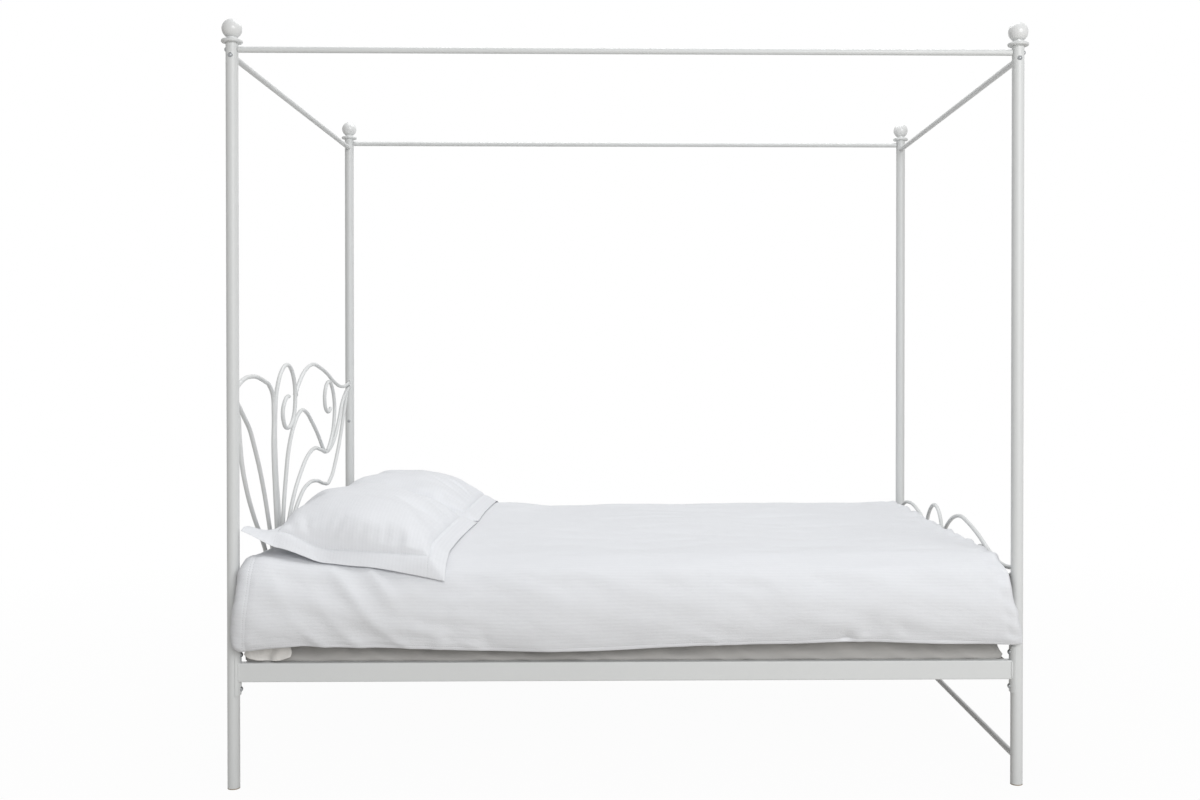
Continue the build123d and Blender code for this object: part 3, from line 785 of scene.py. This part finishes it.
def pillow_puckers(x, y, gap_x, gap_y, seed):
    """Small gathers along the seam, mostly between -1 and 1."""
    wander = 0.5 * waves(x, y, 0.2, seed)
    near_x = np.exp(-np.maximum(gap_x - PILLOW_FLANGE, 0) / PUCKER_REACH)
    near_y = np.exp(-np.maximum(gap_y - PILLOW_FLANGE, 0) / PUCKER_REACH)
    return (near_x * np.sin(FULL_TURN * (y / PUCKER_PITCH_Y + wander))
            + near_y * np.sin(FULL_TURN * (x / PUCKER_PITCH_X + wander)))


def pillow_grids(centre_y, crown, lean, drape, curl, seed):
    """Upper and lower faces of a flanged pillow that rests on the duvet. Drape is how far the flange's
    outer corners reach past the pillow's own outline: at the head, and at the foot. Curl is how far the
    flange's outer corner at the head reaches back and how far it turns up."""
    x, y = np.meshgrid(pillow_lines(PILLOW_HALF_X), pillow_lines(PILLOW_HALF_Y), indexing="ij")
    gap_x = PILLOW_HALF_X - np.abs(x)
    gap_y = PILLOW_HALF_Y - np.abs(y)
    gap = np.minimum(gap_x, gap_y)
    inside = np.maximum(gap - PILLOW_FLANGE, 0)
    s = np.clip(x / (PILLOW_HALF_X - PILLOW_FLANGE), -1, 1)
    t = np.clip(y / (PILLOW_HALF_Y - PILLOW_FLANGE), -1, 1)
    share_x = x / PILLOW_HALF_X
    share_y = y / PILLOW_HALF_Y
    side = math.copysign(1, centre_y)
    full = pillow_fullness(s, t, lean)
    lift = PILLOW_HEAD_LIFT * ease((-s - PILLOW_LIFT_FROM) / PILLOW_LIFT_TURN)
    seam = PILLOW_SEAM_LEVEL + lift
    upper = seam + (crown - seam) * full
    lower = PILLOW_UNDERSIDE + (seam - PILLOW_UNDERSIDE) * (1 - np.sqrt(full)) ** 2.2
    ripple = uneven(FLANGE_WAVE, x, y, seed) + uneven(FLANGE_RIPPLE, x, y, seed + 1)
    turned = np.where(x < 0, ease((CURL_REACH - gap_x) / CURL_REACH), 0)
    turned = turned * ease((side * share_y - CURL_FROM) / CURL_TURN)
    edge_level = FLANGE_LEVEL + 0.95 * lift + np.maximum(ripple * (0.6 - 0.4 * ease(s)), -0.0006)
    risen = ease((side * share_y - FLANGE_RISE_FROM) / FLANGE_RISE_TURN)
    edge_level += FLANGE_OUTER_RISE * risen + curl[1] * turned
    flange = np.clip((PILLOW_FLANGE - gap) / PILLOW_FLANGE, 0, 1)
    hang = seam + (edge_level - seam) * (0.35 * flange + 0.65 * ease(flange))
    half_cloth = FLANGE_HALF_CLOTH * round_off(gap, FLANGE_EDGE_ROUND)
    on_flange = gap < PILLOW_FLANGE - 1e-6
    upper = np.where(on_flange, hang, upper) + half_cloth
    lower = np.where(on_flange, hang, lower) - half_cloth * np.where(on_flange, 1, (1 - full) ** 2)
    upper -= PILLOW_SEAM_DEPTH * bell(gap - PILLOW_FLANGE, PILLOW_SEAM_WIDTH)
    body = ease(inside / SEAM_TURN)
    upper += body * PUCKER_DEPTH * pillow_puckers(x, y, gap_x, gap_y, seed + 2)
    upper += body * (uneven(PILLOW_PUFF, x, y, seed + 3) + uneven(PILLOW_WRINKLE, x, y, seed + 4))
    outward = ease(side * share_y)
    reach = drape[0] + (drape[1] - drape[0]) * (share_x + 1) / 2
    drawn_x = x * (1 - PILLOW_DRAW_X * (1 - share_y ** 2) * np.abs(share_x) ** 3)
    drawn_y = y * (1 - PILLOW_DRAW_Y * (1 - share_x ** 2) * np.abs(share_y) ** 3)
    world_x = PILLOW_X + drawn_x + PILLOW_HEAD_TURN * outward * ease(-share_x) - curl[0] * turned
    world_y = centre_y + drawn_y + side * outward * reach
    outer, inner = (on_duvet(world_x, world_y, level) for level in (upper, lower))
    flat = np.stack([x + PILLOW_HALF_X, y + PILLOW_HALF_Y], -1)
    held = np.stack([np.where(inside < SEAM_HOLD, 1.0, 0.0), np.ones_like(x)])
    return outer, inner, flat, held


def choose_edges(piece, wanted):
    bpy.ops.object.mode_set(mode="EDIT")
    bpy.ops.mesh.select_mode(type="EDGE")
    bpy.ops.mesh.select_all(action="DESELECT")
    bpy.ops.object.mode_set(mode="OBJECT")
    for edge in piece.data.edges:
        begin, end = (piece.data.vertices[index].co for index in edge.vertices)
        edge.select = wanted(begin, end)
    bpy.ops.object.mode_set(mode="EDIT")


def lone_bead(name):
    """A round weld bead for a rod, lying in the XY plane at the origin, with the weld's ripples."""
    bpy.ops.object.select_all(action="DESELECT")
    bpy.ops.mesh.primitive_torus_add(major_segments=26, minor_segments=8,
                                     major_radius=ROD_RADIUS + BEAD_OUT, minor_radius=BEAD_RADIUS)
    bead = bpy.context.object
    bead.name = name
    places = corners_of(bead)
    angle = np.arctan2(places[:, 1], places[:, 0])
    spread = 1 + 0.05 * np.sin(11 * angle) + 0.04 * np.sin(3 * angle + 1)
    places[:, :2] *= spread[:, None]
    places[:, 2] *= 1.15 + 0.25 * np.sin(11 * angle + 0.6)
    move_corners(bead, places)
    bpy.ops.object.shade_smooth()
    return bead


def lone_run(name, length):
    """A straight weld bead along Z at the origin, thickest in its middle and rippled."""
    bpy.ops.object.select_all(action="DESELECT")
    bpy.ops.mesh.primitive_cylinder_add(vertices=10, radius=RUN_RADIUS, depth=length)
    run = bpy.context.object
    run.name = name
    choose_edges(run, lambda begin, end: abs(begin.z - end.z) > length / 2)
    bpy.ops.mesh.subdivide(number_cuts=27)
    bpy.ops.object.mode_set(mode="OBJECT")
    places = corners_of(run)
    share = np.abs(places[:, 2]) / (length / 2)
    width = np.maximum(round_off(1 - share, 0.12), 0.25) * (1 + 0.16 * np.sin(places[:, 2] * 1500))
    places[:, :2] *= width[:, None]
    move_corners(run, places)
    bpy.ops.object.shade_smooth()
    return run


def scatter(name, master, places):
    """Copies of a bead at (centre, way, size), made one piece. The master is removed."""
    copies = []
    for centre, way, size in places:
        copy = bpy.data.objects.new(name, master.data.copy())
        copy.location = centre
        copy.rotation_euler = Vector(way).to_track_quat("Z", "Y").to_euler()
        copy.scale = (size, size, size)
        bpy.context.scene.collection.objects.link(copy)
        copies.append(copy)
    bpy.data.objects.remove(master)
    bpy.ops.object.select_all(action="DESELECT")
    for copy in copies:
        copy.select_set(True)
    bpy.context.view_layer.objects.active = copies[0]
    bpy.ops.object.join()
    joined = bpy.context.object
    bpy.ops.object.transform_apply(location=True, rotation=True, scale=True)
    joined.name = name
    return joined


def panel_bead_places(side_x, rail_low, rail_high, flip):
    """Rod feet on the bottom rail, rod ends on the posts and on each other, and the rail's own ends."""
    x = side_x * POST_X
    rail_z = (rail_low.z + rail_high.z) / 2
    rail_radius = (rail_high.z - rail_low.z) / 2
    post_face = POST_Y - POST_RADIUS
    places = [((x, flip * across, rail_z + rail_radius), (0, 0, 1), 1.0) for across in RAIL_FEET]
    places += [((x, flip * side * post_face, rail_z + up), (0, 1, 0), 1.0) for side, up in POST_ENDS]
    places += [((x, side * post_face, rail_z), (0, 1, 0), 1.3) for side in (-1, 1)]
    for (across, up), way in ROD_ENDS:
        step = Vector((0, flip * way[0], way[1])).normalized()
        places.append((Vector((x, flip * across, rail_z + up)) + step * ROD_RADIUS, step, 0.95))
    return places


class BED_OT_finish_frame(bpy.types.Operator):
    """Give every part of the frame its paint, plating, plastic or wood"""

    bl_idname = "bed.finish_frame"
    bl_label = "Finish Frame"

    def execute(self, context):
        look = context.scene.bed_finishes
        linen = context.scene.bed_linen
        finishes = {
            "white_paint": powder_coat("white powder coat", look.paint, look.paint_roughness),
            "finial_paint": powder_coat("glossy finial paint", look.finial, look.finial_roughness),
            "zinc": zinc_plate("zinc plate", look.zinc),
            "foot_plastic": moulded_plastic("foot plastic", look.foot_plastic),
            "slat_wood": stained_wood("stained slat wood", look.wood),
            # The mattress's cover is the fitted sheet's colour darkened: painted shade under the duvet's
            # overhang.
            "mattress_cover": sheet_cotton("mattress sheet with painted shade", linen.shaded_sheet),
        }
        bedding = sheet_cotton("plain cotton", linen.cotton)
        sheet_cotton("loose sheet cotton", linen.sheet)
        for row in frame["record"]["subparts"]:
            node = frame["nodes"][row["node"]]
            node.data.materials.clear()
            node.data.materials.append(finishes.get(row["material_slot"], bedding))
        return {"FINISHED"}


class BED_OT_weld_beads(bpy.types.Operator):
    """Run a weld bead round each rod end and down each side rail's ends"""

    bl_idname = "bed.weld_beads"
    bl_label = "Weld Beads"

    def execute(self, context):
        paint = bpy.data.materials["white powder coat"]
        ends = (("headboard_welds", -1, HEAD_RAIL_LOW, HEAD_RAIL_HIGH, 1),
                ("footboard_welds", 1, FOOT_RAIL_LOW, FOOT_RAIL_HIGH, -1))
        for name, side_x, low, high, flip in ends:
            beads = scatter(name, lone_bead("bead"), panel_bead_places(side_x, low, high, flip))
            dress(beads, paint, "frame")
        rail_z = (SIDE_RAIL_LOW.z + SIDE_RAIL_HIGH.z) / 2
        half_width = (SIDE_RAIL_HIGH.y - SIDE_RAIL_LOW.y) / 2
        saddle_low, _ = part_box("rail_saddle_foot_far")
        reach = POST_X - saddle_low.x
        weld_x = POST_X - math.sqrt(reach ** 2 - half_width ** 2) - RUN_OUT
        places = [((side_x * weld_x, side_y * POST_Y + face * half_width, rail_z), (0, 0, 1), 1.0)
                  for side_x in (-1, 1) for side_y in (-1, 1) for face in (-1, 1)]
        length = SIDE_RAIL_HIGH.z - SIDE_RAIL_LOW.z - RUN_SHORT
        runs = scatter("rail_welds", lone_run("run", length), places)
        dress(runs, paint, "frame")
        return {"FINISHED"}


class BED_OT_mattress(bpy.types.Operator):
    """Make the mattress in its fitted sheet"""

    bl_idname = "bed.mattress"
    bl_label = "Mattress"

    def execute(self, context):
        low, high = MATTRESS_LOW, MATTRESS_HIGH
        bpy.ops.object.select_all(action="DESELECT")
        bpy.ops.mesh.primitive_cube_add(size=1, location=(low + high) / 2, scale=high - low)
        piece = context.object
        piece.name = "mattress_in_sheet"
        bpy.ops.object.transform_apply(location=True, rotation=True, scale=True)
        choose_edges(piece, lambda begin, end: abs(begin.z - end.z) > 0.1)
        bpy.ops.mesh.bevel(offset=MATTRESS_CORNER_ROUND, segments=5, affect="EDGES")
        bpy.ops.object.mode_set(mode="OBJECT")
        choose_edges(piece, lambda begin, end: min(begin.z, end.z) > high.z - 0.001)
        bpy.ops.mesh.bevel(offset=MATTRESS_TOP_ROUND, segments=5, affect="EDGES")
        bpy.ops.object.mode_set(mode="OBJECT")
        apply_modifier(piece, "REMESH", mode="VOXEL", voxel_size=MATTRESS_VOXEL)
        places = corners_of(piece)
        normals = np.zeros(len(places) * 3)
        piece.data.vertex_normals.foreach_get("vector", normals)
        normals = normals.reshape(-1, 3)
        x, y, z = places.T
        upright = np.clip(1 - np.abs(normals[:, 2]) * 1.3, 0, 1)
        upright *= np.where(normals[:, 0] < -0.5, MATTRESS_HEAD_SHARE, 1)
        share = np.clip((z - low.z) / (high.z - low.z), 0, 1)
        round_about = np.where(np.abs(normals[:, 1]) > np.abs(normals[:, 0]), x, y)
        drag = uneven(MATTRESS_DRAG, round_about + 0.8 * z, z * 0.5, LINEN_SEED + 30)
        drag += uneven(MATTRESS_CREASE, round_about - 0.4 * z, z, LINEN_SEED + 31)
        drag *= np.sin(math.pi * np.clip(share * 1.2, 0.08, 1))
        bulge = MATTRESS_BULGE * np.sin(math.pi * share)
        ruck = uneven(MATTRESS_RUCK, x, y, LINEN_SEED + 32) * np.clip(normals[:, 2], 0, 1)
        move = upright * (drag + bulge) + np.minimum(ruck, 0)
        places = places + normals * move[:, None]
        lip = 1 - ease((places[:, 2] - SIDE_RAIL_HIGH.z - LIP_HEIGHT) / LIP_TURN)
        edge_y = ease((np.abs(places[:, 1]) - high.y + LIP_INSET) / LIP_INSET_TURN)
        edge_foot = ease((places[:, 0] - high.x + LIP_INSET) / LIP_INSET_TURN)
        beneath = edge_y * (1 - ease((places[:, 2] - low.z - LIP_FOLD) / LIP_FOLD_TURN))
        outward = lip * edge_y * (high.y + LIP_OUT_SIDE - np.abs(places[:, 1]))
        places[:, 1] += np.sign(places[:, 1]) * outward
        places[:, 0] += lip * edge_foot * (high.x + LIP_OUT_FOOT - places[:, 0])
        places[:, 2] += beneath * (SIDE_RAIL_HIGH.z + LIP_OVER_RAIL - places[:, 2])
        move_corners(piece, places)
        only(piece)
        bpy.ops.object.shade_smooth()
        dress(piece, bpy.data.materials["mattress sheet with painted shade"], "mattress")
        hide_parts("mattress")
        return {"FINISHED"}


class BED_OT_sheet_corner(bpy.types.Operator):
    """Hang the loose corner of the fitted sheet beside the near head post"""

    bl_idname = "bed.sheet_corner"
    bl_label = "Sheet Corner"

    def execute(self, context):
        columns, rows = CORNER_GRID
        bpy.ops.object.select_all(action="DESELECT")
        bpy.ops.mesh.primitive_grid_add(x_subdivisions=columns, y_subdivisions=rows, size=1)
        piece = context.object
        piece.name = "sheet_corner"
        places = corners_of(piece)
        u = places[:, 0] + 0.5
        v = places[:, 1] + 0.5
        hem = np.interp(u, *CORNER_HEM)
        bunch = sum(depth * np.sin(FULL_TURN * (u * count + slant * v))
                    for depth, count, slant in CORNER_FOLDS)
        x = CORNER_X + CORNER_WIDTH * u + 0.003 * np.sin(FULL_TURN * (v * 1.3 + u))
        y = CORNER_Y - bunch * (1 - 0.5 * v) - 0.004 * (1 - v)
        z = hem + (CORNER_TOP_Z - hem) * v
        places = np.stack([x, y, z], -1)
        move_corners(piece, places)
        apply_modifier(piece, "SOLIDIFY", thickness=CORNER_CLOTH, offset=0.0)
        apply_modifier(piece, "SUBSURF", levels=1, render_levels=1)
        bpy.ops.object.shade_smooth()
        dress(piece, bpy.data.materials["loose sheet cotton"], "mattress")
        return {"FINISHED"}


class BED_OT_duvet(bpy.types.Operator):
    """Make the duvet in its cover"""

    bl_idname = "bed.duvet"
    bl_label = "Duvet"

    def execute(self, context):
        linen = context.scene.bed_linen
        outer, inner, flat, width = duvet_grids(linen)
        piece = shell_piece("duvet_in_cover", outer, inner, flat)
        lines = [(1, HEM_SEAM), (1, width - HEM_SEAM), (0, HEAD_BAND), (0, HEAD_BAND - HEAD_BAND_STITCHES)]
        finish = cotton("duvet cotton", linen.cotton, linen.stripe, 1, lines)
        dress(piece, finish, "duvet")
        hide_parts("duvet")
        return {"FINISHED"}


class BED_OT_pillows(bpy.types.Operator):
    """Make the two flanged pillows"""

    bl_idname = "bed.pillows"
    bl_label = "Pillows"

    def execute(self, context):
        linen = context.scene.bed_linen
        seams = []
        for axis, full in ((0, 2 * PILLOW_HALF_X), (1, 2 * PILLOW_HALF_Y)):
            seams += [(axis, PILLOW_FLANGE), (axis, full - PILLOW_FLANGE)]
        finish = cotton("pillow cotton", linen.cotton, linen.stripe, 0, seams)
        forms = (
            ("near", {"centre_y": PILLOW_NEAR_Y, "crown": linen.near_crown, "lean": 0.20,
                      "drape": (-0.020, 0.058), "curl": (0.037, 0.044), "seed": LINEN_SEED + 40}),
            ("far", {"centre_y": PILLOW_FAR_Y, "crown": linen.far_crown, "lean": 0.19,
                     "drape": (-0.010, 0.020), "curl": (0.0, 0.0), "seed": LINEN_SEED + 60}),
        )
        for side, form in forms:
            piece = shell_piece(f"pillow_{side}_in_case", *pillow_grids(**form))
            swell(piece, slack=0.022, pressure=0.6, bending=0.5, frames=18, cap=0.007)
            apply_modifier(piece, "SUBSURF", levels=1, render_levels=1)
            dress(piece, finish, f"pillow_{side}")
            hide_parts(f"pillow_{side}")
        return {"FINISHED"}


class BED_OT_studio(bpy.types.Operator):
    """Set the floor, lamps, white surroundings and camera"""

    bl_idname = "bed.studio"
    bl_label = "Studio"

    def execute(self, context):
        scene = context.scene
        studio = scene.bed_studio
        scene.view_settings.view_transform = "Standard"
        bpy.ops.object.select_all(action="DESELECT")
        bpy.ops.mesh.primitive_plane_add(size=FLOOR_WIDTH)
        floor = context.object
        floor.name = "floor"
        material, bench = new_finish("studio floor")
        matt = bench.node("ShaderNodeBsdfDiffuse", None, {"Color": (*studio.floor, 1)})
        white = bench.node("ShaderNodeEmission", None, {"Color": WHITE, "Strength": 1.0})
        place = bench.place()
        away = bench.node("ShaderNodeVectorMath", {"operation": "LENGTH"}, {0: place}, "Value")
        share = ((away - FLOOR_SHADE_RADIUS) * FLOOR_SHADE_SLOPE).at_least(0.0).at_most(1.0)
        paleness = share * (1 - FLOOR_PALENESS) + FLOOR_PALENESS
        bench.surface(bench.node("ShaderNodeMixShader", None,
                                 {0: seen_by_eye(bench) * paleness, 1: matt, 2: white}))
        floor.data.materials.append(material)
        scene.world = bpy.data.worlds.new("studio")
        scene.world.use_nodes = True
        bench = Bench(scene.world.node_tree)
        soft = bench.node("ShaderNodeBackground", None, {"Color": WHITE, "Strength": studio.ambient})
        white = bench.node("ShaderNodeBackground", None, {"Color": WHITE, "Strength": 1.0})
        both = bench.node("ShaderNodeMixShader", None, {0: seen_by_eye(bench), 1: soft, 2: white})
        end = scene.world.node_tree.nodes.new("ShaderNodeOutputWorld")
        scene.world.node_tree.links.new(both.socket, end.inputs["Surface"])
        lamps = (("key_lamp", KEY_LAMP_PLACE, studio.key_power, KEY_LAMP_WIDTH),
                 ("top_lamp", TOP_LAMP_PLACE, studio.top_power, TOP_LAMP_WIDTH))
        for name, place, power, width in lamps:
            turn = (Vector(LAMP_AIM) - Vector(place)).to_track_quat("-Z", "Y").to_euler()
            bpy.ops.object.light_add(type="AREA", location=place, rotation=turn)
            lamp = context.object
            lamp.name = name
            lamp.data.energy = power
            lamp.data.size = width
        turn = (math.pi / 2 - studio.camera_dip, 0, -studio.camera_turn)
        bpy.ops.object.camera_add(location=studio.camera_place, rotation=turn)
        camera = context.object
        camera.data.lens = studio.camera_lens
        camera.data.sensor_width = FILM_WIDTH
        camera.data.shift_x, camera.data.shift_y = CAMERA_SHIFT
        scene.camera = camera
        return {"FINISHED"}


def seen_by_eye(bench):
    """1 for rays from the camera, in mirrors and through glass, and otherwise 0."""
    path = bench.node("ShaderNodeLightPath").socket.node.outputs
    rays = [Signal(bench, path[f"Is {kind} Ray"]) for kind in ("Camera", "Glossy", "Transmission")]
    return (rays[0] + rays[1] + rays[2]).at_most(1.0)


class BED_PT_maker(bpy.types.Panel):
    """Lists the steps that make the bed"""

    bl_idname = "BED_PT_maker"
    bl_label = "Canopy Bed"
    bl_space_type = "VIEW_3D"
    bl_region_type = "UI"
    bl_category = "Bed"

    def draw(self, context):
        for step in STEPS:
            self.layout.operator(step.bl_idname)
        for group in (context.scene.bed_finishes, context.scene.bed_linen, context.scene.bed_studio):
            box = self.layout.box()
            for key in group.__annotations__:
                box.prop(group, key)


GROUPS = {"bed_finishes": BedFinishes, "bed_linen": BedLinen, "bed_studio": BedStudio}
STEPS = (BED_OT_finish_frame, BED_OT_weld_beads, BED_OT_mattress, BED_OT_sheet_corner, BED_OT_duvet,
         BED_OT_pillows, BED_OT_studio)


def register():
    for group in GROUPS.values():
        bpy.utils.register_class(group)
    for step in (*STEPS, BED_PT_maker):
        bpy.utils.register_class(step)
    for name, group in GROUPS.items():
        setattr(bpy.types.Scene, name, bpy.props.PointerProperty(type=group))


def unregister():
    for name in GROUPS:
        delattr(bpy.types.Scene, name)
    for part in (BED_PT_maker, *reversed(STEPS), *reversed(GROUPS.values())):
        bpy.utils.unregister_class(part)


def main():
    register()
    bpy.ops.bed.finish_frame()
    bpy.ops.bed.weld_beads()
    bpy.ops.bed.mattress()
    bpy.ops.bed.sheet_corner()
    bpy.ops.bed.duvet()
    bpy.ops.bed.pillows()
    bpy.ops.bed.studio()


if __name__ == "__main__":
    main()
